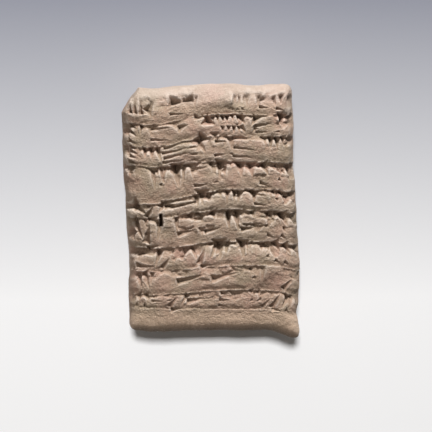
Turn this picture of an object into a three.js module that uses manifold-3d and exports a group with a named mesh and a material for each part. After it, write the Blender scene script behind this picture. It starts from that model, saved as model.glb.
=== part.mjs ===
// A small clay tablet covered with rows of stylus strokes, lying on its reverse.
//
// The tablet is one piece of modelled clay: a flat pillow with a nearly flat obverse, squarish sides and a
// fuller reverse.  Nine ruled rows cross the obverse.  The scribe pressed the corner of a square stylus into
// the wet clay, so every stroke is the print of three planes: two sides of a furrow and the wall of its head.
// The strokes here are grouped into generic marks and spell nothing.
//
// Millimetres.  +Z is the obverse's outward normal, +Y the head of the text, +X its reading direction.
// The origin is under the middle of the tablet, on the surface that it lies on.

import * as THREE from 'three';
import { mergeVertices } from 'three/addons/utils/BufferGeometryUtils.js';
import Module from 'manifold-3d';

const wasm = await Module();
wasm.setup();

// ---------------------------------------------------------------------------------------------------------
// Driving dimensions
// ---------------------------------------------------------------------------------------------------------

const HALF_WIDTH = 18.0; // of the nominal rectangle that the outline wanders about
const HALF_HEIGHT = 25.8;
const OBVERSE_RISE = 7.2; // from the middle of the thickness up to the middle of the obverse
const REVERSE_DROP = 8.0; // and down to the reverse, which is fuller
const RESTING_FLAT = 0.45; // how much of the reverse's belly is pressed flat
const OBVERSE_SQUARENESS = 5.2; // exponent of the section: 2 is a round pillow, 10 a brick
const REVERSE_SQUARENESS = 3.2;

// The plan's corners, as exponents of a squircle: the left corners are worn round, the right ones are sharp.
const CORNERS = { topLeft: 14, topRight: 34, bottomLeft: 30, bottomRight: 44 };
const CORNER_LOSS = 0.35; // what the bottom left corner has lost, in x and in y

// The top left corner is cut off by a line: its outward direction, how far from the middle it lies, and the
// share of the clay beyond it that is gone.
const CORNER_LINE = { outward: new THREE.Vector2(-0.84, 0.54), from: 26.2, gone: 0.9 };

// Ruled lines of the obverse: the height of each at the middle, and how far it drops at the left end.
const RULES = [
  { at: 19.9, sag: 1.7 },
  { at: 15.4, sag: 1.9 },
  { at: 10.1, sag: 0.5 },
  { at: 4.3, sag: 2.6 },
  { at: 0.1, sag: 1.5 },
  { at: -6.5, sag: 1.2 },
  { at: -11.5, sag: 0.9 },
  { at: -16.7, sag: 0.7 },
  { at: -20.9, sag: -0.6 },
];
const FIRST_ROW_TOP = 24.2;
const ROW_LEFT = -16.9;
const ROW_RIGHT = 16.6;

// What each row holds from left to right: mark*count:width in millimetres.  A bare, boss or panel is smooth clay.
const ROWS = [
  'roots*3:3.4 fang:2.6 bare:2.9 bowl:5 boss:8.3 hash*3:2.7 arch:2.6 oval:2.7 grooves:3.3',
  'fan*3:2.6 knob:2.2 stack*2:6 star:7.4 tines*1:1 comb*4:4.4 tower:3 lines*3:5 post:1.9',
  'fan*4:2.8 teeth*2:2.8 slant*1:1.6 lines*4:7 gash:2.6 bare:1.2 lines*2:3.7 stack*3:7.2 tines*3:4.6',
  'panel:5.4 pits*1:1.5 knob:2.4 post:1.8 knob:2.2 lines*2:4.9 post:1.6 knob:1.8 teeth*2:5.3 hooks*1:2.8 crumb:3.8',
  'gash:3.4 leaf:3.2 lens:7.2 post:2.2 knob:3 peaks*2:3.2 arch:3.4 stack*2:3.8 pits*1:1.5 crumb:2.6',
  'gash:2.6 leaf:3.4 panel:3.6 shelf:5.4 shelf:4.2 teeth*2:3.6 shelf:5 hooks*2:5.7',
  'frame:5.4 rise*1:2.6 bare:3.4 slant*1:2 leaf:3.4 post:2 knob:3.2 post:1.4 knob:3.4 crumb:2 hooks*2:4.7',
  'slant*2:3.2 knob:5.6 nail:6.8 nail:7.2 pits*1:3.4 boss:4.7 rise*1:2.6',
  'hooks*2:3.8 lines*1:3.8 leaf:3.6 nail:5.6 bare:1 slashes*3:3.2 bare:2.8 pits*2:3.2 rise*1:2.2 leaf:3 hooks*1:1.3',
];

// The upper part of each row is sunk below the clay of the row above, down to a jagged ledge: how deep it is
// under the line, the share of that left at the ledge's foot, and how far down the row the ledge runs.
const ROW_SINK = [0.4, 0.7, 0.75, 1.2, 1.15, 1, 1.05, 0.3, 0.5];
const SINK_AT_LEDGE = 0.45;
const LEDGE = [0.4, 0.4, 0.4, 0.34, 0.42, 0.56, 0.44, 0.4, 0.45];
const LEDGE_STEP = 0.1; // the run of the step up onto the ledge, as a share of the row's height
const LINE_WALL = 0.3; // the run of the wall above each sunk part, and above the first row's
const FIRST_WALL = 1.4;

// The scribe turned the tablet over its foot and used only the first rows of the reverse, pressing lightly.
const REVERSE_RULES = [19.6, 14.9, 10.4];
const REVERSE_FIRST_TOP = 23.8;
const REVERSE_LEFT = -13.5;
const REVERSE_RULED_TO = 14.5; // both ways from the middle
const REVERSE_PRESS = { depth: 0.6, head: 0.8 }; // shares of the obverse's prints
const REVERSE_ROWS = [
  'bare:1.0 lines*2:5.0 tines*2:3.6 bare:1.6 hooks*2:4.0 nail:5.4 tines*2:4.0',
  'tines*2:3.6 bare:1.8 nail:5.6 hooks*1:2.6 lines*3:5.2 bare:1.4 tines*1:2.4',
  'hooks*1:2.6 lines*2:5.2 bare:1.2 tines*2:3.6',
];

// The narrow slot left by a stem or a thumbnail in the fifth and sixth rows.
const SLOT = { s: -10.7, t: -1.6, width: 0.5, length: 2.4, depth: 2.1, lean: 0.06 };

// ---------------------------------------------------------------------------------------------------------
// The clay body: a cube's surface pressed into a pillow
// ---------------------------------------------------------------------------------------------------------

const bump = (x, at, wide) => Math.exp(-(((x - at) / wide) ** 2));
const { smoothstep, lerp } = THREE.MathUtils;

// The four sides of the plan, each a line that leans and wanders, for u and v from -1 to 1.
const leftSide = (v) =>
  -HALF_WIDTH - 0.5 * v + 0.75 * bump(v, -0.42, 0.3) - 0.1 * bump(v, 0.3, 0.2) + 0.35 * bump(v, 0.14, 0.09);
const rightSide = (v) =>
  HALF_WIDTH - 0.5 - 0.85 * v + 0.15 * Math.sin(9.5 * v + 0.4) - 0.35 * bump(v, -0.79, 0.05) +
  0.6 * bump(v, -0.38, 0.27) - 0.4 * bump(v, 0.8, 0.15);
const topSide = (u) => HALF_HEIGHT + 0.15 - 0.95 * bump(u, -0.6, 0.3) - 0.3 * bump(u, 0.55, 0.2);
const bottomSide = (u) => -HALF_HEIGHT + 0.7 - 1.9 * smoothstep(u, 0.55, 1) ** 1.5;

// Plan position of a point of the unit square.
function plan(u, v) {
  return new THREE.Vector2(
    lerp(leftSide(v), rightSide(v), (u + 1) / 2),
    lerp(bottomSide(u), topSide(u), (v + 1) / 2),
  );
}

// How far out of the middle a plan point lies: 1 on the outline, by the squircle of its own corner.
function reach(u, v) {
  const right = smoothstep(u, -0.6, 0.6);
  const top = smoothstep(v, -0.6, 0.6);
  const squareness = lerp(
    lerp(CORNERS.bottomLeft, CORNERS.bottomRight, right),
    lerp(CORNERS.topLeft, CORNERS.topRight, right),
    top,
  );
  return (Math.abs(u) ** squareness + Math.abs(v) ** squareness) ** (1 / squareness);
}

// Presses a point of the cube's surface onto the pillow.
function press(point) {
  const squareness = point.z > 0 ? OBVERSE_SQUARENESS : REVERSE_SQUARENESS;
  const far = (reach(point.x, point.y) ** squareness + Math.abs(point.z) ** squareness) ** (1 / squareness);
  const [u, v, w] = [point.x / far, point.y / far, point.z / far];
  const flat = plan(u, v);
  const beyond = Math.max(0, flat.dot(CORNER_LINE.outward) - CORNER_LINE.from);
  flat.addScaledVector(CORNER_LINE.outward, -CORNER_LINE.gone * beyond);
  flat.addScalar(CORNER_LOSS * smoothstep(-v - u, 1.65, 2));
  const height = w > 0 ? w * OBVERSE_RISE : w * REVERSE_DROP;
  return new THREE.Vector3(flat.x, flat.y, height);
}

function solidFrom(geometry) {
  const bare = geometry.clone();
  bare.deleteAttribute('normal');
  bare.deleteAttribute('uv');
  const merged = mergeVertices(bare, 1e-4);
  return new wasm.Manifold(
    new wasm.Mesh({
      numProp: 3,
      vertProperties: merged.attributes.position.array,
      triVerts: new Uint32Array(merged.index.array),
    }),
  );
}

// The cube's grid lines crowd towards its edges, where the pillow turns most.
function clayBody() {
  const [across, up, thick] = [14, 18, 7];
  const cube = new THREE.BoxGeometry(2, 2, 2, across, up, thick);
  const position = cube.attributes.position;
  const crowd = (x) => Math.sin((x * Math.PI) / 2);
  for (let i = 0; i < position.count; i++) {
    const point = new THREE.Vector3(...[0, 1, 2].map((axis) => crowd(position.getComponent(i, axis))));
    position.setXYZ(i, ...press(point).toArray());
  }
  return solidFrom(cube);
}

// ---------------------------------------------------------------------------------------------------------
// Places on the clay: s and t are nominal millimetres, along the reading direction and up the text
// ---------------------------------------------------------------------------------------------------------

function onFace(s, t, side) {
  const [u, v] = [s / HALF_WIDTH, (side * t) / HALF_HEIGHT];
  const squareness = side > 0 ? OBVERSE_SQUARENESS : REVERSE_SQUARENESS;
  const rise = Math.max(0, 1 - reach(u, v) ** squareness) ** (1 / squareness);
  const flat = plan(u, v);
  const height = side > 0 ? rise * OBVERSE_RISE : Math.max(-rise * REVERSE_DROP, RESTING_FLAT - REVERSE_DROP);
  return new THREE.Vector3(flat.x, flat.y, height);
}

// A frame on the clay: x runs along the stroke, z out of the surface.
function strokeFrame(s, t, angle, side) {
  const step = 0.4;
  const origin = onFace(s, t, side);
  const along = onFace(s + step, t, side).sub(onFace(s - step, t, side)).normalize();
  const up = onFace(s, t + step, side).sub(onFace(s, t - step, side)).normalize();
  const normal = along.clone().cross(up).normalize();
  const tail = along.multiplyScalar(Math.cos(angle)).addScaledVector(up, Math.sin(angle));
  tail.addScaledVector(normal, -tail.dot(normal)).normalize();
  const across = normal.clone().cross(tail);
  return new THREE.Matrix4().makeBasis(tail, across, normal).setPosition(origin);
}

// ---------------------------------------------------------------------------------------------------------
// The stylus
// ---------------------------------------------------------------------------------------------------------

const SHALLOWEST = 1; // a fainter print is left to the fine surface
const SUNK_UNDER_PRINTS = 0.6; // a print starts from this share of the depth that the row is sunk to
const ROW_STATIONS = 15; // along a row's furrow
const LINE_STATIONS = 4; // and along a ruled line on the flatter reverse
const HEAD_WALL = 0.3; // the run of a head's wall, as a share of its width
const CLEAR = 0.35; // how far a tool stands out of the clay, so that its top never lies in the surface

// A closed prism or pyramid from its corners and outward faces, placed by a matrix.
function tool(corners, faces, matrix) {
  const geometry = new THREE.BufferGeometry();
  geometry.setAttribute('position', new THREE.Float32BufferAttribute(corners.flat(), 3));
  geometry.setIndex(faces.flat());
  geometry.applyMatrix4(matrix);
  return solidFrom(geometry);
}

// The print of the stylus's corner: deepest at the head, running out to nothing at the tail.  It is pressed
// from a surface that is already sunk below the clay's own.
function wedge({ s, t, angle, length, head, depth, sunk }, side) {
  const clear = CLEAR + sunk;
  const grow = (depth + clear) / depth; // the planes are carried on above the surface
  const above = (x, y) => [x * grow, y * grow, clear];
  const wall = -HEAD_WALL * head;
  const corners = [[0, 0, -depth], above(wall, head / 2), above(wall, -head / 2), above(length, 0)];
  const faces = [[0, 2, 1], [0, 3, 2], [0, 1, 3], [1, 2, 3]];
  const frame = strokeFrame(s, t, angle, side).multiply(new THREE.Matrix4().makeTranslation(0, 0, -sunk));
  return tool(corners, faces, frame);
}

// A furrow along a row: a section of four points [y, z], from its upper edge over its floor to its lower
// edge, carried through stations along a line.
function furrow(lineAt, sectionAt, stations, side, left = ROW_LEFT, right = ROW_RIGHT) {
  const corners = [];
  for (let i = 0; i <= stations; i++) {
    const s = lerp(left, right, i / stations);
    const frame = strokeFrame(s, lineAt(s), 0, side);
    for (const [y, z] of sectionAt(s)) corners.push(new THREE.Vector3(0, y, z).applyMatrix4(frame).toArray());
  }
  const last = stations * 4;
  const faces = [[0, 1, 2], [0, 2, 3], [last, last + 2, last + 1], [last, last + 3, last + 2]];
  for (let i = 0; i < stations; i++) {
    for (let k = 0; k < 4; k++) {
      const [a, b] = [i * 4 + k, i * 4 + ((k + 1) % 4)];
      faces.push([a, b + 4, b], [a, a + 4, b + 4]);
    }
  }
  return tool(corners, faces, new THREE.Matrix4());
}

// ---------------------------------------------------------------------------------------------------------
// Marks: groups of strokes in a cell, where x runs 0 to 1 across it and y 0 to 1 from the row's top down
// ---------------------------------------------------------------------------------------------------------

// A print runs from its head to its tail: [x, y, x, y, head's width, depth], the last two in millimetres.
// A mark with a count repeats across or down its cell.
const MARKS = {
  boss: { split: 'none', prints: [[0.04, 0.1, 0.02, 0.8, 1.2, 0.9]] },
  knob: { split: 'none', prints: [[0.02, 0.1, 0.05, 0.6, 1.5, 1.2]] },
  panel: { split: 'none', prints: [[0.98, 0.1, 0.95, 0.7, 1.4, 0.9]] },
  arch: { split: 'none', prints: [[0, 0.1, 0.1, 0.8, 1.9, 1.3], [1, 0.1, 0.9, 0.8, 1.9, 1.3]] },
  roots: { split: 'x', prints: [[0.5, 0.62, 0.5, 0, 1.4, 1.5]] },
  fang: { split: 'none', prints: [[0.3, 0.5, 0.95, 0.05, 2.6, 1.5], [0.1, 0.6, 0.05, 0.1, 1.2, 0.8]] },
  bowl: {
    split: 'none',
    prints: [
      [0.14, 0.24, 0.8, 0.3, 3.1, 2.1],
      [0.88, 0.22, 0.2, 0.3, 2.6, 1.9],
      [0, 0.7, 0.95, 0.85, 0.9, 0.9],
    ],
  },
  hash: { split: 'x', prints: [[0.5, 0.15, 0.5, 0.75, 1.3, 1.2], [0, 0.8, 1, 0.85, 0.7, 0.7]] },
  oval: { split: 'none', prints: [[0.15, 0.2, 0.95, 0.22, 2, 1.4], [0.1, 0.6, 0.95, 0.75, 0.9, 0.9]] },
  grooves: {
    split: 'none',
    prints: [
      [0.1, 0.2, 0.3, 0.75, 1.8, 1.3],
      [0.6, 0.15, 0.65, 0.6, 2, 1.4],
      [0.3, 0.75, 0.95, 0.85, 1, 0.9],
    ],
  },
  fan: { split: 'y', prints: [[0.05, 0.2, 0.95, 0.95, 1.1, 1.2]] },
  teeth: { split: 'x', prints: [[0.5, 0.12, 0.5, 0.62, 3, 1.8]] },
  peaks: { split: 'x', prints: [[0.55, 0.12, 0.45, 0.62, 2.8, 1.6]] },
  tines: { split: 'x', prints: [[0.5, 0.1, 0.6, 0.6, 2, 1.4]] },
  post: { split: 'none', prints: [[0.5, 0.1, 0.4, 0.7, 3.6, 1.8]] },
  stack: { split: 'y', prints: [[0.04, 0.42, 0.99, 0.5, 0.9, 1.1]] },
  lines: { split: 'y', prints: [[0.03, 0.45, 1, 0.45, 0.8, 1], [0.97, 0.4, 0.6, 0.45, 0.7, 0.6]] },
  star: {
    split: 'none',
    prints: [
      [0.46, 0.06, 0.4, 0.22, 2.4, 1.2],
      [0.8, 0.28, 1, 0.5, 3, 1.7],
      [0.02, 0.42, 0.28, 0.3, 2, 1.3],
      [0.62, 1.02, 0.56, 0.68, 3, 1.7],
      [0.98, 0.95, 0.75, 0.75, 2, 1.2],
    ],
  },
  comb: { split: 'x', prints: [[0.5, 0.12, 0.5, 0.46, 1.4, 1.4], [0.5, 0.62, 0.5, 0.94, 1.4, 1.3]] },
  tower: {
    split: 'none',
    prints: [
      [0, 0.15, 0.3, 0.5, 1.9, 1.4],
      [1, 0.15, 0.7, 0.5, 1.9, 1.4],
      [0, 0.62, 0.35, 0.95, 1.6, 1.1],
      [1, 0.62, 0.65, 0.95, 1.6, 1.1],
    ],
  },
  lens: {
    split: 'none',
    prints: [
      [0.1, 0.42, 0.98, 0.42, 1.4, 1.4],
      [0.95, 0.38, 0.3, 0.44, 1, 1],
      [0.1, 0.1, 0.7, 0.08, 1.6, 1.1],
      [1, 0.2, 1, 0.75, 2, 1.4],
    ],
  },
  gash: { split: 'none', prints: [[0.15, 0.1, 0.95, 0.8, 3.2, 1.7]] },
  leaf: {
    split: 'none',
    prints: [
      [0, 0.8, 0.45, 0.05, 1.8, 1.3],
      [1, 0.15, 0.65, 0.85, 1.8, 1.3],
      [0.1, 1, 0.9, 0.9, 1.4, 1.3],
    ],
  },
  slashes: { split: 'y', prints: [[0.1, 0.4, 0.95, 0.62, 0.9, 1]] },
  frame: {
    split: 'none',
    prints: [
      [0.06, 0.24, 0.95, 0.2, 1.2, 1],
      [0.02, 0.82, 0.95, 0.85, 1.3, 1],
      [0.06, 0.2, 0.1, 0.8, 1.3, 1],
      [0.98, 0.2, 0.72, 0.85, 1.5, 1.1],
    ],
  },
  nail: { split: 'none', prints: [[0.08, 0.5, 0.98, 0.3, 1.8, 1.3], [0.1, 0.55, 0.4, 0.45, 1.2, 0.9]] },
  shelf: { split: 'none', prints: [[0.02, 0.62, 1, 0.55, 1.2, 1.2], [0.5, 0.12, 0.6, 0.3, 2.4, 1.5]] },
  slant: { split: 'x', prints: [[0.3, 0.15, 0.95, 0.85, 1.8, 1.3]] },
  rise: { split: 'x', prints: [[0.15, 0.85, 0.9, 0.3, 1.5, 1.1]] },
  hooks: { split: 'x', prints: [[0.4, 0.12, 0.75, 0.48, 2.8, 1.6], [0.2, 0.78, 0.7, 0.88, 1.2, 0.9]] },
  pits: { split: 'x', prints: [[0.3, 0.12, 0.5, 0.3, 1.6, 1.4], [0.6, 0.5, 0.8, 0.6, 1.1, 1.2]] },
  crumb: {
    split: 'none',
    prints: [
      [0.3, 0.12, 0.5, 0.3, 1.6, 1.4],
      [0.7, 0.3, 0.8, 0.45, 1.5, 1.3],
      [0.4, 0.62, 0.6, 0.7, 1.1, 1],
    ],
  },
};

// The hand never repeats itself: a number from 0 to 1 that depends on the place alone, and a second one
// made from it.
function chance(s, t) {
  const value = Math.sin(12.9898 * s + 78.233 * t) * 43758.5453;
  return value - Math.floor(value);
}
const another = (luck) => (luck * 7.13) % 1;

const WANDER = 0.35; // how far a print strays from its place
const TURN = 0.16; // how far it turns, in radians
const CROWDING = { x: 1.15, y: 1.5 }; // how wide a head may be, for each copy's share of the cell
const SPREAD = { length: [0.92, 1.12], head: [0.84, 1.1], depth: [0.85, 1.17] }; // least and most of each
const CROWDED_DEPTH = 0.7; // the least share of its depth that a print keeps when its head is narrowed

// The prints of one row between the lines above and below it.  sunkAt gives how deep a place in the row
// already lies.
function rowPrints(text, topAt, bottomAt, left, sunkAt) {
  const prints = [];
  let start = left;
  for (const word of text.split(' ')) {
    const [, name, , count, size] = word.match(/^(\w+?)(\*(\d+))?:([\d.]+)$/);
    const [copies, width] = [Number(count ?? 1), Number(size)];
    const mark = MARKS[name] ?? { split: 'none', prints: [] };
    for (let i = 0; i < copies; i++) {
      const place = (x, y) => {
        const s = start + (mark.split === 'x' ? (i + x) / copies : x) * width;
        const down = mark.split === 'y' ? (i + y) / copies : y;
        return { s, down, t: topAt(s) - down * (topAt(s) - bottomAt(s)) };
      };
      for (const [x0, y0, x1, y1, head, depth] of mark.prints) {
        const [from, to] = [place(x0, y0), place(x1, y1)];
        const high = topAt(from.s) - bottomAt(from.s);
        const room = { x: (CROWDING.x * width) / copies, y: (CROWDING.y * high) / copies, none: head };
        const broad = Math.min(head, room[mark.split]);
        const luck = chance(from.s, from.t);
        const s = from.s + WANDER * (chance(from.t, from.s) - 0.5);
        const t = from.t + WANDER * (chance(from.s + 1, from.t) - 0.5);
        prints.push({
          s,
          t,
          angle: Math.atan2(to.t - t, to.s - s) + TURN * (luck - 0.5),
          length: Math.hypot(to.s - s, to.t - t) * lerp(...SPREAD.length, another(luck)),
          head: broad * lerp(...SPREAD.head, luck),
          depth: depth * lerp(...SPREAD.depth, another(luck)) * lerp(CROWDED_DEPTH, 1, broad / head),
          sunk: SUNK_UNDER_PRINTS * sunkAt(from.s, from.down),
        });
      }
    }
    start += width;
  }
  return prints;
}

// ---------------------------------------------------------------------------------------------------------
// Writing
// ---------------------------------------------------------------------------------------------------------

const ruleAt = (rule) => (s) => rule.at - rule.sag * (1 - smoothstep(s, ROW_LEFT, 0.25 * HALF_WIDTH));

// A sunk part's depth and its ledge change along the row in slow waves, which differ from row to row.
const depthWave = (row, s) => 0.85 + 0.3 * Math.sin(0.75 * s + 2.1 * row);
const ledgeWave = (row, s) => 0.09 * Math.sin(1.15 * s + 1.9 * row) + 0.07 * Math.sin(2.6 * s + 4.3 * row);

function obverseTools() {
  const tools = [];
  ROWS.forEach((text, row) => {
    const bottomAt = ruleAt(RULES[row]);
    const topAt = row > 0 ? ruleAt(RULES[row - 1]) : () => FIRST_ROW_TOP;
    const sinkAt = (s) => ROW_SINK[row] * depthWave(row, s);
    const ledgeAt = (s) => LEDGE[row] + ledgeWave(row, s);
    const sunkAt = (s, down) => {
      const share = down / ledgeAt(s);
      return share < 1 ? sinkAt(s) * lerp(1, SINK_AT_LEDGE, share) : 0;
    };
    for (const print of rowPrints(text, topAt, bottomAt, ROW_LEFT, sunkAt)) {
      if (print.depth > SHALLOWEST) tools.push(wedge(print, 1));
    }
    const wall = row > 0 ? LINE_WALL : FIRST_WALL;
    const floorAt = (s) => topAt(s) - (row > 0 ? 0 : FIRST_WALL);
    const sectionAt = (s) => {
      const [depth, atLedge] = [sinkAt(s), SINK_AT_LEDGE * sinkAt(s)];
      const high = topAt(s) - bottomAt(s);
      const foot = (ledgeAt(s) - LEDGE_STEP / 2) * high - (topAt(s) - floorAt(s));
      const step = (LEDGE_STEP * high * (atLedge + CLEAR)) / atLedge;
      const upper = (wall * (depth + CLEAR)) / depth;
      return [[upper, CLEAR], [0, -depth], [-foot, -atLedge], [-foot - step, CLEAR]];
    };
    tools.push(furrow(floorAt, sectionAt, ROW_STATIONS, 1));
  });
  return tools;
}

// A ruled line's section on the reverse, 0.2 deep and carried on to above the clay.
const RULED_LINE = [[0.8, CLEAR], [0.05, -0.2], [-0.05, -0.2], [-1.1, CLEAR]];

function reverseTools() {
  const tools = [];
  REVERSE_ROWS.forEach((text, row) => {
    const bottomAt = () => REVERSE_RULES[row];
    const topAt = () => (row > 0 ? REVERSE_RULES[row - 1] : REVERSE_FIRST_TOP);
    for (const print of rowPrints(text, topAt, bottomAt, REVERSE_LEFT, () => 0)) {
      const { depth, head } = REVERSE_PRESS;
      tools.push(wedge({ ...print, depth: depth * print.depth, head: head * print.head }, -1));
    }
    tools.push(furrow(bottomAt, () => RULED_LINE, LINE_STATIONS, -1, -REVERSE_RULED_TO, REVERSE_RULED_TO));
  });
  return tools;
}

function slotTool() {
  const { s, t, width, length, depth, lean } = SLOT;
  const slot = new THREE.BoxGeometry(width, length, 2 * depth);
  slot.applyMatrix4(strokeFrame(s, t, lean, 1));
  return solidFrom(slot);
}

function tabletGeometry() {
  const tools = [...obverseTools(), ...reverseTools(), slotTool()];
  const [wide, long, thick] = [60, 80, 10]; // larger than the tablet
  const table = new THREE.BoxGeometry(wide, long, thick);
  table.translate(0, 0, RESTING_FLAT - REVERSE_DROP - thick / 2);
  const carved = clayBody().subtract(wasm.Manifold.union(tools)).subtract(solidFrom(table));
  const body = carved.decompose().sort((a, b) => b.volume() - a.volume())[0];
  const mesh = body.getMesh();
  const geometry = new THREE.BufferGeometry();
  geometry.setAttribute('position', new THREE.BufferAttribute(new Float32Array(mesh.vertProperties), 3));
  geometry.setIndex(new THREE.BufferAttribute(new Uint32Array(mesh.triVerts), 1));
  geometry.computeBoundingBox();
  const { min, max } = geometry.boundingBox;
  geometry.translate(-(min.x + max.x) / 2, -(min.y + max.y) / 2, -min.z);
  return geometry;
}

const clay = new THREE.MeshStandardMaterial({ color: 0xa58e7c, roughness: 0.92, metalness: 0 });
const tablet = new THREE.Mesh(tabletGeometry(), clay);
tablet.name = 'tablet';

const part = new THREE.Group();
part.add(tablet);
export default part;
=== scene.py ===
import math
import re

import bpy
import numpy as np
from mathutils import Matrix, Vector


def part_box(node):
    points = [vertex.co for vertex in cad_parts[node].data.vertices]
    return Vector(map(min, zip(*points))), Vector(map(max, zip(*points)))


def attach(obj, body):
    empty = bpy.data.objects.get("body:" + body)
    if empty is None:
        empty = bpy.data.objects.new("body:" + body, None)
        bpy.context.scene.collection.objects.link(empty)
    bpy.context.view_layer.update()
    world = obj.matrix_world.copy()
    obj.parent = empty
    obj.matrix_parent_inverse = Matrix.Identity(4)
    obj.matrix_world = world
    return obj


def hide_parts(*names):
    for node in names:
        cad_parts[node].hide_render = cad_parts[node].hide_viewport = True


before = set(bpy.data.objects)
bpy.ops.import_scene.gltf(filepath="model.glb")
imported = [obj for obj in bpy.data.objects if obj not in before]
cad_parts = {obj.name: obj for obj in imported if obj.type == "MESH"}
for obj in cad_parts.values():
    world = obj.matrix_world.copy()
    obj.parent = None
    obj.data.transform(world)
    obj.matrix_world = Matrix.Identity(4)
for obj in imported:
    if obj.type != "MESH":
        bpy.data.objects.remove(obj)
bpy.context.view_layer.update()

# ------------------------------------------------------------------------------------------------------
# The clay body.  A handful of river clay patted into a pillow, with a nearly flat obverse, squarish sides
# and a fuller reverse that is flat where the tablet lies.  Millimetres, until the mesh is made.
# ------------------------------------------------------------------------------------------------------

HALF_WIDTH, HALF_HEIGHT = 18.0, 25.8  # of the nominal rectangle that the outline wanders about
OBVERSE_RISE, REVERSE_DROP = 7.2, 8.0  # from the middle of the thickness up, and down
RESTING_FLAT = 0.45  # how much of the reverse's belly is pressed flat
OBVERSE_SQUARENESS, REVERSE_SQUARENESS = 5.2, 3.2  # exponents of the section: 2 is round, 10 a brick
# The plan's corners, as exponents of a squircle: a small one is worn round and a large one is sharp.
CORNERS = {"top_left": 14, "top_right": 34, "bottom_left": 30, "bottom_right": 44}
CORNER_LOSS = 0.35  # of the bottom left corner, in x and in y
CORNER_LINE = (-0.84, 0.54, 26.2, 0.9)  # cuts the top left corner: outward x, y, distance, share gone
GRID = (204, 290)  # squares across and up the obverse
FINE_BANDS, FINE_RUN = 5, 0.16  # bands round the obverse's edge, and how far down the cube they run
HALVING_RUN = 0.05  # the strip below them, where the grid halves
COARSE_BANDS = 26  # from that strip down to the reverse


def smoothstep(x, low, high):
    """0 below low, 1 above high, and an S between them: k squared times (3 - 2k)."""
    k = np.clip((x - low) / (high - low), 0, 1)
    return k * k * (3 - 2 * k)


def hump(x, at, wide):
    """A bell: e to the minus ((x - at) / wide) squared."""
    return np.exp(-(((x - at) / wide) ** 2))


def plan(u, v):
    """The outline's sides are lines that lean, with bells and a sine added, and a point of the unit square
    lies between them in proportion."""
    left = -HALF_WIDTH - 0.5 * v + 0.75 * hump(v, -0.42, 0.3) - 0.1 * hump(v, 0.3, 0.2)
    left = left + 0.35 * hump(v, 0.14, 0.09)
    right = HALF_WIDTH - 0.5 - 0.85 * v + 0.15 * np.sin(9.5 * v + 0.4) - 0.35 * hump(v, -0.79, 0.05)
    right = right + 0.6 * hump(v, -0.38, 0.27) - 0.4 * hump(v, 0.8, 0.15)
    top = HALF_HEIGHT + 0.15 - 0.95 * hump(u, -0.6, 0.3) - 0.3 * hump(u, 0.55, 0.2)
    bottom = -HALF_HEIGHT + 0.7 - 1.9 * smoothstep(u, 0.55, 1) ** 1.5
    return left + (right - left) * (u + 1) / 2, bottom + (top - bottom) * (v + 1) / 2


def reach(u, v):
    """How far out a plan point lies: (|u|^m + |v|^m)^(1/m), with m blended between the four corners."""
    right, top = smoothstep(u, -0.6, 0.6), smoothstep(v, -0.6, 0.6)
    low = CORNERS["bottom_left"] + (CORNERS["bottom_right"] - CORNERS["bottom_left"]) * right
    high = CORNERS["top_left"] + (CORNERS["top_right"] - CORNERS["top_left"]) * right
    m = low + (high - low) * top
    return (np.abs(u) ** m + np.abs(v) ** m) ** (1 / m)


def pillow(x, y, z):
    """A cube's surface pressed round: each point is divided by (reach^k + |z|^k)^(1/k).  Returns places in
    millimetres and the pressed u, v, w."""
    k = np.where(z > 0, OBVERSE_SQUARENESS, REVERSE_SQUARENESS)
    far = (reach(x, y) ** k + np.abs(z) ** k) ** (1 / k)
    u, v, w = x / far, y / far, z / far
    flat_x, flat_y = plan(u, v)
    out_x, out_y, distance, gone = CORNER_LINE
    beyond = gone * np.maximum(0, out_x * flat_x + out_y * flat_y - distance)
    loss = CORNER_LOSS * smoothstep(-v - u, 1.65, 2)
    height = np.where(w > 0, w * OBVERSE_RISE, w * REVERSE_DROP)
    places = np.stack([flat_x - out_x * beyond + loss, flat_y - out_y * beyond + loss, height], axis=1)
    return places, np.stack([u, v, w], axis=1)


def rim(across, up):
    """The boundary of a grid of (across + 1) by (up + 1) points, anticlockwise from its first corner."""
    i, j = np.arange(across), np.arange(up)
    wide = across + 1
    return np.concatenate([i, j * wide + across, up * wide + across - i, (up - j) * wide])


def squares(across, up):
    """The corners of a grid's squares, anticlockwise."""
    i, j = np.meshgrid(np.arange(across), np.arange(up))
    low = (j * (across + 1) + i).ravel()
    return np.stack([low, low + 1, low + across + 2, low + across + 1], axis=1)


def grid_points(across, up, z):
    """An even grid over the unit square at a height z."""
    x, y = np.meshgrid(np.linspace(-1, 1, across + 1), np.linspace(-1, 1, up + 1))
    return np.stack([x.ravel(), y.ravel(), np.full(x.size, float(z))], axis=1)


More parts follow.
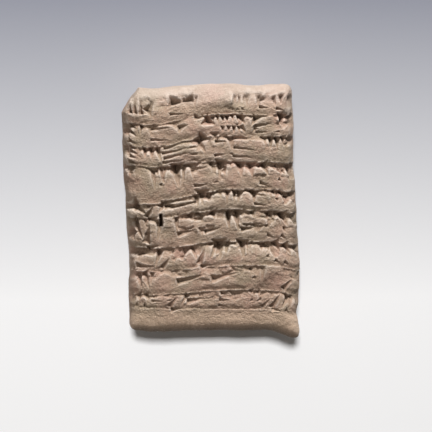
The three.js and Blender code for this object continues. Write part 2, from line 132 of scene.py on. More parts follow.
def cube_shell():
    """A closed cube: a fine grid in front, fine bands, one strip where the grid halves, coarse bands and a
    coarse back.  Returns its points, its squares and its triangles."""
    across, up = GRID
    front, back = grid_points(across, up, 1), grid_points(across // 2, up // 2, -1)
    front_rim, back_rim = rim(across, up), rim(across // 2, up // 2)
    round_front, round_back = front[front_rim], back[back_rim]
    points, quads = [front], [squares(across, up)]
    ring, total = front_rim, len(front)
    heights = 1 - FINE_RUN * np.arange(1, FINE_BANDS + 1) / FINE_BANDS
    for z in heights:  # a few bands, each one whole array
        band = round_front.copy()
        band[:, 2] = z
        lower = total + np.arange(len(band))
        quads.append(np.stack([ring, lower, np.roll(lower, -1), np.roll(ring, -1)], axis=1))
        points.append(band)
        ring, total = lower, total + len(band)
    fine = ring
    first = None
    for z in np.linspace(heights[-1] - HALVING_RUN, -1, COARSE_BANDS + 1)[:-1]:
        band = round_back.copy()
        band[:, 2] = z
        lower = total + np.arange(len(band))
        if first is None:
            first = lower
        else:
            quads.append(np.stack([ring, lower, np.roll(lower, -1), np.roll(ring, -1)], axis=1))
        points.append(band)
        ring, total = lower, total + len(band)
    lower = total + back_rim
    quads.append(np.stack([ring, lower, np.roll(lower, -1), np.roll(ring, -1)], axis=1))
    quads.append(total + squares(across // 2, up // 2)[:, ::-1])
    points.append(back)
    even, odd, after, next_first = fine[0::2], fine[1::2], np.roll(fine[0::2], -1), np.roll(first, -1)
    triangles = np.concatenate([
        np.stack([even, first, odd], axis=1),
        np.stack([odd, first, next_first], axis=1),
        np.stack([odd, next_first, after], axis=1),
    ])
    return np.concatenate(points), np.concatenate(quads), triangles


def normals_of(places, quads, triangles):
    """Each point's normal is the sum of its faces' normals, made one long."""
    total = np.zeros_like(places)
    for faces in (quads, triangles):
        a, b, c = places[faces[:, 0]], places[faces[:, 1]], places[faces[:, 2]]
        d = places[faces[:, -1]]
        across = np.cross(b - a, c - a) + (np.cross(c - a, d - a) if faces.shape[1] == 4 else 0)
        for corner in faces.T:
            for axis in range(3):
                total[:, axis] += np.bincount(corner, across[:, axis], len(places))
    return total / np.linalg.norm(total, axis=1, keepdims=True)


# ------------------------------------------------------------------------------------------------------
# The writing.  Nine ruled rows on the obverse and three on the reverse, each a run of generic marks that
# spell nothing.  A mark is a group of prints of a square stylus's corner, and of clay swollen up between.
# ------------------------------------------------------------------------------------------------------

# Each ruled line's height at the middle, and how far it drops at the left end.
RULES = [
    (19.9, 1.7), (15.4, 1.9), (10.1, 0.5), (4.3, 2.6), (0.1, 1.5),
    (-6.5, 1.2), (-11.5, 0.9), (-16.7, 0.7), (-20.9, -0.6),
]
FIRST_ROW_TOP, ROW_LEFT = 24.2, -16.9
# The upper part of each row is sunk, down to a jagged ledge: how far down the row the ledge lies, as a share
# of its height, and how deep it is sunk.
LEDGE = [0.4, 0.4, 0.4, 0.34, 0.42, 0.56, 0.44, 0.4, 0.45]
ROW_SINK = [0.4, 0.7, 0.75, 1.2, 1.15, 1, 1.05, 0.3, 0.5]
# What each row holds from left to right: mark*count:width in millimetres.
ROWS = [
    "roots*3:3.4 fang:2.6 bare:2.9 bowl:5 boss:8.3 hash*3:2.7 arch:2.6 oval:2.7 grooves:3.3",
    "fan*3:2.6 knob:2.2 stack*2:6 star:7.4 tines*1:1 comb*4:4.4 tower:3 lines*3:5 post:1.9",
    "fan*4:2.8 teeth*2:2.8 slant*1:1.6 lines*4:7 gash:2.6 bare:1.2 lines*2:3.7 stack*3:7.2 tines*3:4.6",
    "panel:5.4 pits*1:1.5 knob:2.4 post:1.8 knob:2.2 lines*2:4.9 post:1.6 knob:1.8 teeth*2:5.3 "
    "hooks*1:2.8 crumb:3.8",
    "gash:3.4 leaf:3.2 lens:7.2 post:2.2 knob:3 peaks*2:3.2 arch:3.4 stack*2:3.8 pits*1:1.5 crumb:2.6",
    "gash:2.6 leaf:3.4 panel:3.6 shelf:5.4 shelf:4.2 teeth*2:3.6 shelf:5 hooks*2:5.7",
    "frame:5.4 rise*1:2.6 bare:3.4 slant*1:2 leaf:3.4 post:2 knob:3.2 post:1.4 knob:3.4 crumb:2 hooks*2:4.7",
    "slant*2:3.2 knob:5.6 nail:6.8 nail:7.2 pits*1:3.4 boss:4.7 rise*1:2.6",
    "hooks*2:3.8 lines*1:3.8 leaf:3.6 nail:5.6 bare:1 slashes*3:3.2 bare:2.8 pits*2:3.2 "
    "rise*1:2.2 leaf:3 hooks*1:1.3",
]
REVERSE_FIRST_TOP, REVERSE_RULES = 23.8, [19.6, 14.9, 10.4]
REVERSE_LEFT, REVERSE_RIGHT = -13.5, 14.5
REVERSE_DEPTH, REVERSE_HEAD = 0.6, 0.8  # shares of the obverse's prints
REVERSE_ROWS = [
    "bare:1.0 lines*2:5.0 tines*2:3.6 bare:1.6 hooks*2:4.0 nail:5.4 tines*2:4.0",
    "tines*2:3.6 bare:1.8 nail:5.6 hooks*1:2.6 lines*3:5.2 bare:1.4 tines*1:2.4",
    "hooks*1:2.6 lines*2:5.2 bare:1.2 tines*2:3.6",
]
# Each mark: whether copies stand beside ("x") or below ("y") one another, its prints (head x, y, tail x, y,
# head's width, depth) and its swells (x, y, half width, half height, rise).  Places and half sizes are
# shares of the mark's cell, from its left and from its top, and the rest is in millimetres.
MARKS = {
    "bare": ("", [], []),
    "boss": ("", [(0.04, 0.1, 0.02, 0.8, 1.2, 0.9)], [(0.5, 0.36, 0.56, 0.75, 1.05)]),
    "knob": ("", [(0.02, 0.1, 0.05, 0.6, 1.5, 1.2)], [(0.55, 0.5, 0.48, 0.42, 0.6)]),
    "panel": ("", [(0.98, 0.1, 0.95, 0.7, 1.4, 0.9)], [(0.48, 0.5, 0.6, 0.6, 0.5)]),
    "arch": ("", [
        (0, 0.1, 0.1, 0.8, 1.9, 1.3), (1, 0.1, 0.9, 0.8, 1.9, 1.3)],
        [(0.5, 0.5, 0.45, 0.45, 0.6)]),
    "roots": ("x", [
        (0.5, 0.62, 0.5, 0, 1.4, 1.5)],
        [(0, 0.3, 0.35, 0.3, 0.5), (0.5, 0.88, 0.6, 0.14, 0.45)]),
    "fang": ("", [
        (0.3, 0.5, 0.95, 0.05, 2.6, 1.5), (0.1, 0.6, 0.05, 0.1, 1.2, 0.8)],
        [(0.6, 0.85, 0.6, 0.15, 0.35)]),
    "bowl": ("", [
        (0.14, 0.24, 0.8, 0.3, 3.1, 2.1), (0.88, 0.22, 0.2, 0.3, 2.6, 1.9),
        (0, 0.7, 0.95, 0.85, 0.9, 0.9)],
        [(0.5, 0.58, 0.5, 0.09, 0.45), (0.5, 0.86, 0.5, 0.1, 0.45)]),
    "hash": ("x", [
        (0.5, 0.15, 0.5, 0.75, 1.3, 1.2), (0, 0.8, 1, 0.85, 0.7, 0.7)],
        [(0, 0.45, 0.4, 0.3, 0.5)]),
    "oval": ("", [
        (0.15, 0.2, 0.95, 0.22, 2, 1.4), (0.1, 0.6, 0.95, 0.75, 0.9, 0.9)],
        [(0.5, 0.5, 0.5, 0.4, 0.5)]),
    "grooves": ("", [
        (0.1, 0.2, 0.3, 0.75, 1.8, 1.3), (0.6, 0.15, 0.65, 0.6, 2, 1.4), (0.3, 0.75, 0.95, 0.85, 1, 0.9)],
        [(0.9, 0.4, 0.25, 0.35, 0.5), (0.4, 0.45, 0.2, 0.4, 0.4)]),
    "fan": ("y", [(0.05, 0.2, 0.95, 0.95, 1.1, 1.2)], [(0.5, 0.5, 0.5, 0.48, 0.4)]),
    "teeth": ("x", [(0.5, 0.12, 0.5, 0.62, 3, 1.8)], [(0, 0.6, 0.5, 0.4, 0.55)]),
    "peaks": ("x", [(0.55, 0.12, 0.45, 0.62, 2.8, 1.6)], [(0.05, 0.56, 0.44, 0.42, 0.7)]),
    "tines": ("x", [(0.5, 0.1, 0.6, 0.6, 2, 1.4)], [(0.05, 0.5, 0.46, 0.4, 0.5)]),
    "post": ("", [(0.5, 0.1, 0.4, 0.7, 3.6, 1.8)], []),
    "stack": ("y", [(0.04, 0.42, 0.99, 0.5, 0.9, 1.1)], [(0.5, 0.52, 0.52, 0.5, 0.55)]),
    "lines": ("y", [
        (0.03, 0.45, 1, 0.45, 0.8, 1), (0.97, 0.4, 0.6, 0.45, 0.7, 0.6)],
        [(0.5, 0.52, 0.52, 0.5, 0.55)]),
    "star": ("", [
        (0.46, 0.06, 0.4, 0.22, 2.4, 1.2), (0.8, 0.28, 1, 0.5, 3, 1.7), (0.02, 0.42, 0.28, 0.3, 2, 1.3),
        (0.62, 1.02, 0.56, 0.68, 3, 1.7), (0.98, 0.95, 0.75, 0.75, 2, 1.2)],
        [(0.45, 0.5, 0.56, 0.52, 0.7)]),
    "comb": ("x", [
        (0.5, 0.12, 0.5, 0.46, 1.4, 1.4), (0.5, 0.62, 0.5, 0.94, 1.4, 1.3)],
        [(0, 0.3, 0.5, 0.2, 0.5), (0, 0.78, 0.5, 0.2, 0.5)]),
    "tower": ("", [
        (0, 0.15, 0.3, 0.5, 1.9, 1.4), (1, 0.15, 0.7, 0.5, 1.9, 1.4), (0, 0.62, 0.35, 0.95, 1.6, 1.1),
        (1, 0.62, 0.65, 0.95, 1.6, 1.1)],
        [(0.5, 0.5, 0.42, 0.5, 0.7)]),
    "lens": ("", [
        (0.1, 0.42, 0.98, 0.42, 1.4, 1.4), (0.95, 0.38, 0.3, 0.44, 1, 1),
        (0.1, 0.1, 0.7, 0.08, 1.6, 1.1), (1, 0.2, 1, 0.75, 2, 1.4)],
        [(0.5, 0.68, 0.5, 0.2, 0.6), (0.5, 0.24, 0.4, 0.1, 0.5)]),
    "gash": ("", [(0.15, 0.1, 0.95, 0.8, 3.2, 1.7)], [(0.8, 0.35, 0.4, 0.35, 0.4)]),
    "leaf": ("", [
        (0, 0.8, 0.45, 0.05, 1.8, 1.3), (1, 0.15, 0.65, 0.85, 1.8, 1.3), (0.1, 1, 0.9, 0.9, 1.4, 1.3)],
        [(0.5, 0.52, 0.5, 0.46, 0.6)]),
    "slashes": ("y", [(0.1, 0.4, 0.95, 0.62, 0.9, 1)], []),
    "frame": ("", [
        (0.06, 0.24, 0.95, 0.2, 1.2, 1), (0.02, 0.82, 0.95, 0.85, 1.3, 1), (0.06, 0.2, 0.1, 0.8, 1.3, 1),
        (0.98, 0.2, 0.72, 0.85, 1.5, 1.1)],
        [(0.5, 0.52, 0.4, 0.25, 0.3)]),
    "nail": ("", [
        (0.08, 0.5, 0.98, 0.3, 1.8, 1.3), (0.1, 0.55, 0.4, 0.45, 1.2, 0.9)],
        [(0.55, 0.72, 0.5, 0.26, 0.4)]),
    "shelf": ("", [
        (0.02, 0.62, 1, 0.55, 1.2, 1.2), (0.5, 0.12, 0.6, 0.3, 2.4, 1.5)],
        [(0.3, 0.3, 0.4, 0.17, 0.42), (0.82, 0.38, 0.3, 0.14, 0.36)]),
    "slant": ("x", [(0.3, 0.15, 0.95, 0.85, 1.8, 1.3)], [(0.1, 0.6, 0.45, 0.4, 0.5)]),
    "rise": ("x", [(0.15, 0.85, 0.9, 0.3, 1.5, 1.1)], [(0.35, 0.45, 0.45, 0.35, 0.4)]),
    "hooks": ("x", [
        (0.4, 0.12, 0.75, 0.48, 2.8, 1.6), (0.2, 0.78, 0.7, 0.88, 1.2, 0.9)],
        [(0.98, 0.52, 0.45, 0.36, 0.6)]),
    "pits": ("x", [
        (0.3, 0.12, 0.5, 0.3, 1.6, 1.4), (0.6, 0.5, 0.8, 0.6, 1.1, 1.2)],
        [(0.1, 0.55, 0.45, 0.4, 0.5)]),
    "crumb": ("", [
        (0.3, 0.12, 0.5, 0.3, 1.6, 1.4), (0.7, 0.3, 0.8, 0.45, 1.5, 1.3), (0.4, 0.62, 0.6, 0.7, 1.1, 1)],
        [(0.1, 0.6, 0.35, 0.35, 0.5), (0.85, 0.75, 0.3, 0.28, 0.5)]),
}


def rule_height(row, s):
    """A ruled line's height at s: it drops by its sag towards the left.  Above the first row it is level."""
    if row < 0:
        return FIRST_ROW_TOP + 0 * s
    at, sag = RULES[row]
    return at - sag * (1 - smoothstep(s, ROW_LEFT, 0.25 * HALF_WIDTH))


def chance(s, t):
    """The hand never repeats itself: the fraction of a large multiple of a sine of the place."""
    value = math.sin(12.9898 * s + 78.233 * t) * 43758.5453
    return value - math.floor(value)


WANDER = 0.35  # how far a print strays from its place
TURN = 0.16  # how far it turns, in radians
CROWDING = {"x": 1.15, "y": 1.5}  # how wide a head may be, for each copy's share of the cell
LENGTHS, HEADS, DEPTHS = (0.92, 1.12), (0.84, 1.1), (0.85, 1.17)  # the least and the most share
CROWDED_DEPTH = 0.7  # the least share of its depth that a print keeps when its head is narrowed
RISES = (0.7, 1.3)  # the least and the most share of its mark's rise that a swell has


def mix(share, ends):
    """From the first end to the second in proportion."""
    return ends[0] + (ends[1] - ends[0]) * share


def row_marks(text, top_at, bottom_at, left):
    """Reads a row's words from left to right and gives its prints (s, t, angle, length, head, depth) and its
    swells (s, t, half width, half height, rise)."""
    prints, swells, start = [], [], left
    for word in text.split():
        name, count, width = re.match(r"^(\w+?)(?:\*(\d+))?:([\d.]+)$", word).groups()
        copies, width = int(count or 1), float(width)
        split, strokes, bulges = MARKS[name]

        def place(x, y, i):
            s = start + ((i + x) / copies if split == "x" else x) * width
            down = (i + y) / copies if split == "y" else y
            high = top_at(s) - bottom_at(s)
            return s, top_at(s) - down * high, high

        for i in range(copies):
            for x0, y0, x1, y1, head, depth in strokes:
                (s, t, high), (s1, t1, _) = place(x0, y0, i), place(x1, y1, i)
                luck = chance(s, t)
                another = (luck * 7.13) % 1
                s, t = s + WANDER * (chance(t, s) - 0.5), t + WANDER * (chance(s + 1, t) - 0.5)
                room = {"x": width / copies, "y": high / copies}.get(split, head) * CROWDING.get(split, 1)
                broad = min(head, room)
                angle = math.atan2(t1 - t, s1 - s) + TURN * (luck - 0.5)
                length = math.hypot(s1 - s, t1 - t) * mix(another, LENGTHS)
                deep = depth * mix(another, DEPTHS) * mix(broad / head, (CROWDED_DEPTH, 1))
                prints.append((s, t, angle, length, broad * mix(luck, HEADS), deep))
            if split == "y" and i > 0:
                continue  # copies below one another share one swell
            for x, y, half_x, half_y, rise in bulges:
                s, t, high = place(x, y * copies if split == "y" else y, i)
                half_width = half_x * width / (copies if split == "x" else 1)
                swells.append((s, t, half_width, half_y * high, rise * mix(chance(s, t), RISES)))
        start += width
    return prints, swells


def scatter(i, j, seed):
    """A number from 0 to 1 for each cell of a lattice: the fraction of a large multiple of a sine."""
    value = np.sin(i * 127.1 + j * 311.7 + seed * 74.7) * 43758.5453
    return value - np.floor(value)


def grain(x, y, cell, seed):
    """Smooth noise from -0.5 to 0.5: a lattice's numbers blended with S curves, cell millimetres apart."""
    i, j = np.floor(x / cell), np.floor(y / cell)
    a, b = x / cell - i, y / cell - j
    a, b = a * a * (3 - 2 * a), b * b * (3 - 2 * b)
    low = scatter(i, j, seed) * (1 - a) + scatter(i + 1, j, seed) * a
    high = scatter(i, j + 1, seed) * (1 - a) + scatter(i + 1, j + 1, seed) * a
    return low * (1 - b) + high * b - 0.5


def clods(s, t, wide, tall, seed):
    """The worn surface breaks round scattered seeds, one to a cell.  Gives each place's gap, which is the
    distance to the second nearest seed less that to the nearest, a plane that tilts each clod its own way,
    and the clod's luck."""
    nearest, second = np.full_like(s, 9.0), np.full_like(s, 9.0)
    plane, luck = np.zeros_like(s), np.zeros_like(s)
    for shift in range(9):
        i, j = np.floor(s / wide) + shift % 3 - 1, np.floor(t / tall) + shift // 3 - 1
        away_s = s / wide - i - 0.5 - 0.8 * (scatter(i, j, seed) - 0.5)
        away_t = t / tall - j - 0.5 - 0.8 * (scatter(i, j, seed + 1) - 0.5)
        far = np.hypot(away_s, away_t)
        tilted = (scatter(i, j, seed + 2) - 0.5) * away_s + (scatter(i, j, seed + 3) - 0.6) * away_t
        nearer = far < nearest
        second = np.where(nearer, nearest, np.minimum(second, far))
        plane, luck = np.where(nearer, tilted, plane), np.where(nearer, scatter(i, j, seed + 4), luck)
        nearest = np.minimum(nearest, far)
    return second - nearest, plane, luck


HEAD_WALL = 0.3  # the run of a head's wall, as a share of its width
FLOOR_ROUND = 0.1  # how far the floor of a furrow is rounded


def stylus(s, t, stroke, depth_share=1.0, head_share=1.0):
    """The print of the stylus's corner: the highest of three planes, the head's wall and the two sides of a
    furrow that runs out from its depth at the head to nothing at the tail.  Across it, the distance is the
    square root of y squared plus the floor's rounding squared."""
    at_s, at_t, angle, length, head, depth = stroke
    head, depth = head * head_share, depth * depth_share
    x = (s - at_s) * math.cos(angle) + (t - at_t) * math.sin(angle)
    y = (t - at_t) * math.cos(angle) - (s - at_s) * math.sin(angle)
    side = 2 * depth * (1 + 0.3 * head / length) / head
    wall = -depth - depth / (HEAD_WALL * head) * x
    return np.maximum(wall, -depth + depth / length * x + side * np.sqrt(y * y + FLOOR_ROUND**2))


def press(surface, tool, soft):
    """The lower of two surfaces, with the edge between them rounded over a width of soft."""
    share = np.clip((surface - tool) / (2 * soft) + 0.5, 0, 1)
    return surface + (tool - surface) * share - soft * share * (1 - share)


FAINT_FROM, FAINT_DEPTH = 7, 0.75  # the rows after the seventh were pressed to this share of the depth


def obverse_marks():
    """All nine rows' prints and swells."""
    prints, swells = [], []
    for row, text in enumerate(ROWS):
        top, bottom = (lambda at, r=row - 1: rule_height(r, at)), (lambda at, r=row: rule_height(r, at))
        strokes, bulges = row_marks(text, top, bottom, ROW_LEFT)
        share = FAINT_DEPTH if row >= FAINT_FROM else 1
        prints += [(*stroke[:5], stroke[5] * share) for stroke in strokes]
        swells += bulges
    return prints, swells


TAPER, TAPER_UNDER = 0.45, 1.4  # how much a lump narrows upwards, if under this many times wider than high
LUMP_RIM = (-1.1, -0.7)  # where a lump begins and is whole, as minus the half widths from its middle


def standing_lumps(s, t, swells):
    """Lumps of the first surface left standing between the strokes.  A lump is all there where the cube root
    of |s|^3 + |t|^3, in half widths and half heights, is small, and gone where that is large.  Gives how
    much of a lump there is at each place, and the height of its top, a plane that leans its own way."""
    standing, tilted, weight = np.zeros_like(s), np.zeros_like(s), np.full_like(s, 1e-3)
    for at_s, at_t, half_s, half_t, rise in swells:
        up = (t - at_t) / half_t
        taper = TAPER if half_s < TAPER_UNDER * half_t else 0
        slim = half_s * (1.05 - taper * np.clip(up, -1, 1))
        far = (np.abs((s - at_s) / slim) ** 3 + np.abs(up) ** 3) ** (1 / 3)
        mound = smoothstep(-far, *LUMP_RIM)
        lean = 0.3 * (chance(at_s, at_t) - 0.5) * (s - at_s) + 0.3 * (chance(at_t, at_s) - 0.6) * (t - at_t)
        standing = np.maximum(standing, mound)
        tilted, weight = tilted + mound**4 * (lean + 0.6 * rise - 0.3), weight + mound**4
    return standing, standing * tilted / weight


SINK_AT_LEDGE = 0.45  # the share of a row's depth that is left at its ledge
FIRST_WALL, LINE_WALL = 1.5, 0.3  # the run of the wall above the first row's sunk part, and the others'
LEDGE_EDGE = (-0.04, 0.06)  # the run of the step up onto a ledge, in shares of the row's height


def sunken_rows(s, t, standing):
    """Each row sinks sharply under its line and rises evenly to its ledge, whose place is two sines and two
    grains along the row.  The foot of a row is worn down a little too.  Gives the depth, how far each place
    is in a row's upper half, and how far in a sunk part."""
    sunk, loose, recess = np.zeros_like(s), np.zeros_like(s), np.zeros_like(s)
    for row in range(len(ROWS)):
        top, bottom = rule_height(row - 1, s), rule_height(row, s)
        down = (top - t) / (top - bottom)
        sink = ROW_SINK[row] * (0.85 + 0.3 * np.sin(0.75 * s + 2.1 * row) + 0.25 * grain(s, t, 1.5, 8 + row))
        ledge = LEDGE[row] + 0.09 * np.sin(1.15 * s + 1.9 * row) + 0.07 * np.sin(2.6 * s + 4.3 * row)
        ledge = ledge + 0.22 * grain(s, 0.5 * t, 1.1, 80 + row) + 0.1 * grain(s, t, 0.5, 90 + row)
        inside = smoothstep(ledge - down, *LEDGE_EDGE) * (down > 0)
        sink = sink * mix(np.clip(1 - down / ledge, 0, 1), (SINK_AT_LEDGE, 1)) * inside
        sink = sink * smoothstep(down * (top - bottom), 0, LINE_WALL if row else FIRST_WALL)
        under = (0.25 + 0.3 * grain(s, t, 2.3, 40 + row)) * smoothstep(down, 0.72, 1.0) * (down < 1)
        sunk = sunk + sink * (1 - standing) * (down > 0) + under
        loose = loose + (1 - smoothstep(down, 0.4, 0.8)) * (down > 0) * (down < 1)
        recess = recess + inside * ROW_SINK[row] * (row > 0)
    return sunk, loose, recess


CLOD_WIDE, CLOD_TALL = 2.9, 1.5  # of the cells that hold one clod's seed each
LIP = 0.04  # how high the clay is pushed up round a print
SLOT = {"s": -10.7, "t": -1.6, "half_width": 0.26, "half_length": 1.2, "lean": 0.06, "depth": 2.0}
FOOT_LIP, FOOT_LIP_RUN = 0.6, (21.2, 24.8)  # how high the bottom margin swells, and where it does


def obverse_relief(s, t):
    """The places wander a little, and then the surface is a gentle swell with lumps added, the sunken rows
    taken away and clods stepped into what is worn.  The prints are pressed into it from a surface nearer to
    level, each with a low lip pushed up round it.  Last come the margin's swell and the slot.  Gives the
    height and how pink the clay is."""
    s = s + 0.22 * grain(s, t, 2.1, 3) + 0.12 * grain(s, t, 0.8, 4)
    t = t + 0.25 * grain(s, t, 1.9, 5) + 0.12 * grain(s, t, 0.7, 6)
    prints, swells = obverse_marks()
    standing, lumps = standing_lumps(s, t, swells)
    sunk, loose, recess = sunken_rows(s, t, standing)
    base = 0.5 * grain(s, t, 5.5, 1) + 0.12 * grain(s, t, 1.7, 2) - 0.25
    relief = base + lumps * np.where(t > FIRST_ROW_TOP, 1, loose) - sunk
    gap, plane, luck = clods(s, t, CLOD_WIDE, CLOD_TALL, 60)
    worn = (0.22 + 0.55 * loose + 0.72 * recess) * (1 - 0.75 * standing)
    worn = worn * (0.45 + 0.55 * smoothstep(t, -16.5, -11.5)) * smoothstep(t, -21.5, -20)
    crack = 0.35 * (1 - smoothstep(gap, 0, 0.4)) * smoothstep(grain(s, t, 1.6, 70), -0.2, 0.3)
    relief = relief + worn * (0.5 * plane + 0.3 * (luck - 0.5) - crack)
    bare = 0.4 * base + 0.6 * relief
    for stroke in prints:
        print_ = bare + stylus(s, t, stroke)
        lip = LIP * hump(print_ - relief, 0.08, 0.1) * (print_ > relief)
        relief = press(relief, print_, 0.02) + lip
    relief = relief + FOOT_LIP * smoothstep(-t, *FOOT_LIP_RUN)
    along = t - SLOT["t"]
    out_s = np.abs(s - SLOT["s"] - SLOT["lean"] * along) - SLOT["half_width"]
    out_t = np.abs(along) - SLOT["half_length"]
    relief = relief - SLOT["depth"] * (1 - smoothstep(np.maximum(out_s, out_t), -0.05, 0.12))
    return relief, np.maximum(standing, worn) * (0.35 + 0.65 * luck)


def reverse_relief(s, t):
    """A gentle swell, with three rows only, pressed more lightly, and a bell-shaped furrow under each."""
    relief = 0.3 * grain(s, t, 6.5, 31)
    ruled = smoothstep(s, REVERSE_LEFT - 1.5, REVERSE_LEFT)
    ruled = ruled * smoothstep(-s, -REVERSE_RIGHT - 0.8, -REVERSE_RIGHT)
    for row, text in enumerate(REVERSE_ROWS):
        top, bottom = REVERSE_RULES[row - 1] if row else REVERSE_FIRST_TOP, REVERSE_RULES[row]
        strokes, _ = row_marks(text, lambda at, h=top: h, lambda at, h=bottom: h, REVERSE_LEFT)
        relief = relief - 0.22 * hump(t, bottom, 0.22) * ruled
        for stroke in strokes:
            relief = press(relief, stylus(s, t, stroke, REVERSE_DEPTH, REVERSE_HEAD), 0.08)
    return relief


# ------------------------------------------------------------------------------------------------------
# The tablet.  The body with its writing, worn and pitted, as one closed skin.  Five attributes colour it:
# how far a place stands out widely and finely (pale dust and a painted highlight on what stands out, painted
# shade in what sinks), how deep it was pressed, how pink its clay is, and how far it faces the foot of the
# text (painted shade).
# ------------------------------------------------------------------------------------------------------


WIDE_TIMES, FINE_TIMES = 60, 6  # how often the relief is evened out, to see what stands out of it


def even_out(values, edges, times):
    """Each point takes the mean of itself and its neighbours, again and again."""
    size = len(values)
    count = np.bincount(edges.ravel(), minlength=size) + 1
    first, second = edges.T
    for _ in range(times):
        total = np.bincount(first, values[second], size) + np.bincount(second, values[first], size)
        values = (values + total) / count
    return values


points, quads, triangles = cube_shell()
places, uvw = pillow(*points.T)
normals = normals_of(places, quads, triangles)
u, v, w = uvw.T
obverse, reverse = smoothstep(w, 0.3, 0.7), smoothstep(-w, 0.3, 0.7)
s, t = u * HALF_WIDTH, v * HALF_HEIGHT
x, y, z = places.T

relief = np.zeros(len(places))
face = obverse > 0
standing = np.zeros(len(places))
written, standing[face] = obverse_relief(s[face], t[face])
relief[face] = obverse[face] * written
back = reverse > 0
relief[back] += reverse[back] * reverse_relief(s[back], -t[back])

corners = np.concatenate([quads[:, [0, 1]], quads[:, [1, 2]], quads[:, [2, 3]], quads[:, [3, 0]],
                          triangles[:, [0, 1]], triangles[:, [1, 2]], triangles[:, [2, 0]]])
edges = np.unique(np.sort(corners, axis=1), axis=0)

side = 1 - obverse
rough = (0.09 * grain(x + 0.7 * z, y - 0.6 * z, 0.5, 21) + 0.1 * grain(x - 0.8 * z, y + 0.7 * z, 1.3, 22)
         + 0.09 * grain(x + 0.6 * z, y + 0.8 * z, 0.3, 23))
lumps = 0.35 * grain(x + 0.5 * z, y - 0.4 * z, 4.5, 24) + 0.3 * grain(x - z, y + z, 2.2, 25)
relief = relief + rough * (0.55 + 0.45 * obverse) + lumps * side

hollow = relief - even_out(relief, edges, WIDE_TIMES)
edge = relief - even_out(relief, edges, FINE_TIMES)
skin = places + normals * relief[:, None]
flat = RESTING_FLAT - REVERSE_DROP
skin[:, 2] = np.maximum(skin[:, 2], flat)
middle = (skin.max(axis=0) + skin.min(axis=0)) / 2
low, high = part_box("tablet")
skin = (skin - [middle[0], middle[1], flat]) / 1000
skin[:, :2] += [(low.x + high.x) / 2, (low.y + high.y) / 2]

mesh = bpy.data.meshes.new("tablet_clay")
faces = [*quads.tolist(), *triangles.tolist()]
mesh.from_pydata(skin.tolist(), [], faces)
mesh.polygons.foreach_set("use_smooth", np.ones(len(mesh.polygons), bool))
# How far a place faces the foot of the text, away from the lamp: the finish paints shade there.
foot_shade = smoothstep(-normals[:, 1], 0.4, 0.8)
attributes = {
    "hollow": hollow, "edge": edge, "pressed": relief * obverse, "standing": standing, "foot_shade": foot_shade,
}
for name, values in attributes.items():
    mesh.attributes.new(name, "FLOAT", "POINT").data.foreach_set("value", values.astype(np.float32))
tablet = bpy.data.objects.new("tablet_clay", mesh)
bpy.context.scene.collection.objects.link(tablet)
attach(tablet, "root")
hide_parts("tablet")

# ------------------------------------------------------------------------------------------------------
# The clay's finish.  Grey-brown river clay, pinker in patches and where it stands proud, with pale dust and
# a painted highlight on the ridges and edges, a painted highlight along the head, an ochre bottom margin,
# painted shade on the side that faces the foot, dark brown painted shade in the hollows and deep prints, and
# a fine grit that never shines.
# ------------------------------------------------------------------------------------------------------


class Socket:
    """A node's socket: + - * on it add Math nodes, and node() adds any other."""

    def __init__(self, tree, socket=None):
        self.tree, self.socket = tree, socket

    def node(self, kind, settings=None, sockets=None, out=0):
        """A node of a kind with its settings made first and then its sockets filled or linked."""
        made = self.tree.nodes.new(kind)
        for key, value in (settings or {}).items():
            setattr(made, key, value)
        for key, value in (sockets or {}).items():
            if isinstance(value, Socket):
                self.tree.links.new(value.socket, made.inputs[key])
            else:
                made.inputs[key].default_value = value
        return Socket(self.tree, made.outputs[out]) if made.outputs else None

    def maths(self, operation, first, second):
        return self.node("ShaderNodeMath", {"operation": operation}, {0: first, 1: second})

    def __add__(self, other):
        return self.maths("ADD", self, other)

    def __sub__(self, other):
        return self.maths("SUBTRACT", self, other)

    def __rsub__(self, other):
        return self.maths("SUBTRACT", other, self)

    def __mul__(self, other):
        return self.maths("MULTIPLY", self, other)

    __radd__, __rmul__ = __add__, __mul__

    def between(self, low, high):
        """0 at low and 1 at high, held at both ends."""
        return self.node("ShaderNodeMapRange", {"clamp": True}, {0: self, 1: low, 2: high})


def blend(share, under, over):
    """The second colour over the first by a share."""
    sockets = {0: share, 6: under, 7: over}
    return share.node("ShaderNodeMix", {"data_type": "RGBA", "clamp_factor": True}, sockets, 2)


def colour(red, green, blue):
    return (red, green, blue, 1.0)


clay = bpy.data.materials.new("dried_clay")
clay.use_nodes = True
clay.node_tree.nodes.clear()
finish = Socket(clay.node_tree)
place = finish.node("ShaderNodeTexCoord", out=3)


def speckle(per_metre, detail, roughness):
    """Cloudy noise over the piece, from 0 to 1."""
    sockets = {"Vector": place, "Scale": per_metre, "Detail": detail, "Roughness": roughness}
    return finish.node("ShaderNodeTexNoise", {}, sockets)


hollow_at, edge_at, pressed_at, standing_at, foot_shade_at = (
    finish.node("ShaderNodeAttribute", {"attribute_name": name}, out=2)
    for name in attributes)
up_the_text = finish.node("ShaderNodeSeparateXYZ", {}, {0: place}, 1)
patches, mottle = speckle(130, 4, 0.6), speckle(520, 4, 0.65)
dust, grit = speckle(1100, 3, 0.7), speckle(4200, 2, 0.6)
tone = blend(patches.between(0.38, 0.62), colour(0.262, 0.2, 0.142), colour(0.314, 0.208, 0.158))
tone = blend(mottle.between(0.42, 0.7) * 0.5, tone, colour(0.255, 0.2, 0.137))
pink = standing_at * 0.5 * speckle(260, 3, 0.6).between(0.42, 0.6)
tone = blend(pink, tone, colour(0.37, 0.218, 0.172))
handled = (1 - up_the_text.between(0.001, 0.007)) * up_the_text.between(-0.009, -0.002)
tone = blend(handled * 0.4, tone, colour(0.2, 0.155, 0.105))
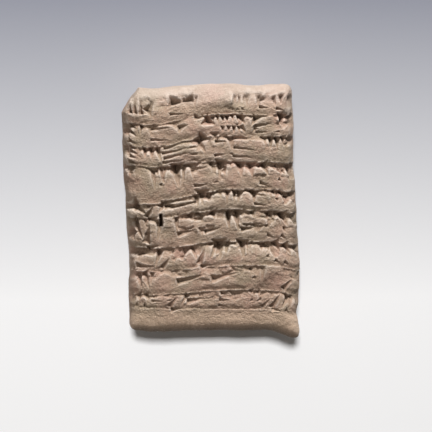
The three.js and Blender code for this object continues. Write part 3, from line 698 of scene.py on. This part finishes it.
# Pale dust with a painted highlight: what stands out of the widely evened relief is painted lighter.
ridge_dust_and_highlight = hollow_at.between(0.0, 0.45) * (0.3 + dust.between(0.3, 0.7) * 0.7)
tone = blend(ridge_dust_and_highlight * 0.55, tone, colour(0.54, 0.46, 0.395))
# Pale dust with a painted highlight: what stands out of the finely evened relief is painted lighter still.
tone = blend(edge_at.between(0.02, 0.18) * 0.38, tone, colour(0.62, 0.545, 0.48))
# Painted highlight: the band along the head's edge, which faces the lamp, is painted paler.
tone = blend(up_the_text.between(0.0215, 0.0245) * 0.4, tone, colour(0.43, 0.37, 0.335))
margin = (mottle * 0.003 - up_the_text).between(0.0208, 0.023)
tone = blend(margin * 0.62, tone, colour(0.475, 0.35, 0.26))
# Painted shade: the side facing the foot of the text, turned away from the lamp, is painted nearly black.
tone = blend(foot_shade_at * 0.85, tone, colour(0.1, 0.075, 0.055))
# Painted shade: the hollows and the deepest prints are painted dark brown, for the shade that gathers in
# them.
hollow_shade = (0 - hollow_at).between(0.1, 0.7) * 0.43 + (0 - pressed_at).between(1.0, 2.2) * 0.25
tone = blend(hollow_shade, tone, colour(0.12, 0.08, 0.055))
tone = blend(grit.between(0.56, 0.75) * 0.5, tone, colour(0.2, 0.15, 0.11))
tone = blend((0 - grit).between(-0.46, -0.3) * 0.5, tone, colour(0.5, 0.415, 0.35))
bump_height = grit * 0.5 + dust * 0.5 + mottle * 0.15
bump = finish.node("ShaderNodeBump", {}, {"Strength": 1.0, "Distance": 0.0005, "Height": bump_height})
shader = finish.node("ShaderNodeBsdfPrincipled", {}, {
    "Base Color": tone, "Roughness": 0.86 + mottle * 0.12, "Normal": bump, "Specular IOR Level": 0.25,
})
finish.node("ShaderNodeOutputMaterial", {}, {"Surface": shader})
mesh.materials.append(clay)

# ------------------------------------------------------------------------------------------------------
# The table.  A wide sheet of matt paper under the tablet.  It is nearly white beside the tablet's foot and
# darkens to a bluish grey beyond its head.
# ------------------------------------------------------------------------------------------------------

SHEET_HALF = 1.5  # metres
SHEET_CORNERS = [(-1, -1), (1, -1), (1, 1), (-1, 1)]
sheet_mesh = bpy.data.meshes.new("paper_sheet")
sheet_mesh.from_pydata([(SHEET_HALF * x, SHEET_HALF * y, 0) for x, y in SHEET_CORNERS], [], [(0, 1, 2, 3)])
sheet = bpy.data.objects.new("paper_sheet", sheet_mesh)
bpy.context.scene.collection.objects.link(sheet)
paper = bpy.data.materials.new("paper")
paper.use_nodes = True
paper.node_tree.nodes.clear()
paper_finish = Socket(paper.node_tree)
paper_place = paper_finish.node("ShaderNodeTexCoord", out=3)
along = paper_finish.node("ShaderNodeSeparateXYZ", {}, {0: paper_place}, 1)
paper_tone = blend(along.between(-0.02, 0.048), colour(0.9, 0.9, 0.905), colour(0.255, 0.265, 0.32))
paper_shader = paper_finish.node("ShaderNodeBsdfPrincipled", {}, {
    "Base Color": paper_tone, "Roughness": 0.9, "Specular IOR Level": 0.1,
})
paper_finish.node("ShaderNodeOutputMaterial", {}, {"Surface": paper_shader})
sheet_mesh.materials.append(paper)

# ------------------------------------------------------------------------------------------------------
# The light and the camera.  A soft lamp low beyond the tablet's head and a weak one to fill light the clay,
# and a third lights the paper.  The view is from nearly overhead and leans towards the head and the left.
# ------------------------------------------------------------------------------------------------------

AIM = Vector((0.00084, -0.00068, 0.011))  # metres, a little inside the obverse


def look(at, target):
    """A frame at a place that looks along -Z at the target, with +Y of the tablet upwards."""
    back = (at - target).normalized()
    right = Vector((0, 1, 0)).cross(back).normalized()
    turn = Matrix((right, back.cross(right), back)).transposed()
    return Matrix.Translation(at) @ turn.to_4x4()


def lamp(name, at, size, power, tint, lights_only):
    """A square soft box that lights one thing."""
    light = bpy.data.lights.new(name, "AREA")
    light.size, light.energy, light.color = size, power, tint
    body = bpy.data.objects.new(name, light)
    body.matrix_world = look(Vector(at), Vector((0, 0, 0)))
    bpy.context.scene.collection.objects.link(body)
    lit = bpy.data.collections.new(name + "_lights")
    lit.objects.link(lights_only)
    body.light_linking.receiver_collection = lit


lamp("soft_key", (0.10, 0.64, 0.31), 0.10, 10.8, (1.0, 0.985, 0.965), tablet)
lamp("weak_fill", (-0.35, -0.1, 0.6), 0.5, 1.7, (1.0, 0.93, 0.86), tablet)
lamp("table_light", (-0.06, 0.26, 0.72), 0.10, 5.6, (1.0, 1.0, 1.0), sheet)
world = bpy.data.worlds.new("studio")
world.use_nodes = True
world.node_tree.nodes["Background"].inputs[0].default_value = colour(1.0, 0.93, 0.86)
world.node_tree.nodes["Background"].inputs[1].default_value = 0.13
bpy.context.scene.world = world
bpy.context.scene.view_settings.view_transform = "Standard"

camera = bpy.data.cameras.new("camera")
camera.lens, camera.sensor_width = 100, 36
eye = bpy.data.objects.new("camera", camera)
tilt, lean, away = math.radians(6.5), math.radians(4), 0.248  # towards the head, to the left, and metres off
direction = Vector((-math.sin(lean), math.sin(tilt), math.cos(tilt))).normalized()
eye.matrix_world = look(AIM + away * direction, AIM)
bpy.context.scene.collection.objects.link(eye)
bpy.context.scene.camera = eye
